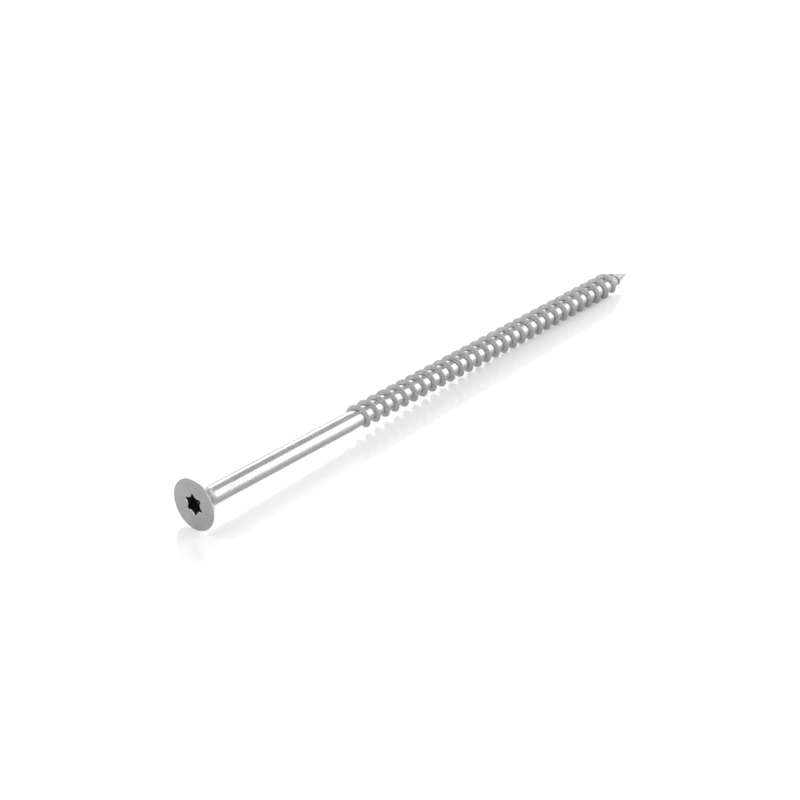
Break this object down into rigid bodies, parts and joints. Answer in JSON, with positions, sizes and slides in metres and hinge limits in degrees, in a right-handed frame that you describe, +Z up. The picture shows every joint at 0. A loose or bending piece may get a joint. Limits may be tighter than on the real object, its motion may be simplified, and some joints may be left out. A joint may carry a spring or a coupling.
{
  "type": "chipboard screw",
  "caption": "Long countersunk chipboard screw with a plain shank, a coarse right-hand thread, a sharp point and a six-lobe drive recess.",
  "frame": {"origin": "centre of the head face, on the screw's axis", "axes": "+X from the head towards the tip, in the vertical plane of the screw's axis, +Z up from the floor that the screw lies on. The axis points 1.22 degrees below +X, because the head rim and the thread stand on one level floor."},
  "size_m": [0.1201, 0.0096, 0.0096],
  "materials": {
    "zinc_plated_steel": "satin bright zinc plate"
  },
  "bodies": {
    "root": {"screw": "zinc_plated_steel"}
  },
  "joints": []
}
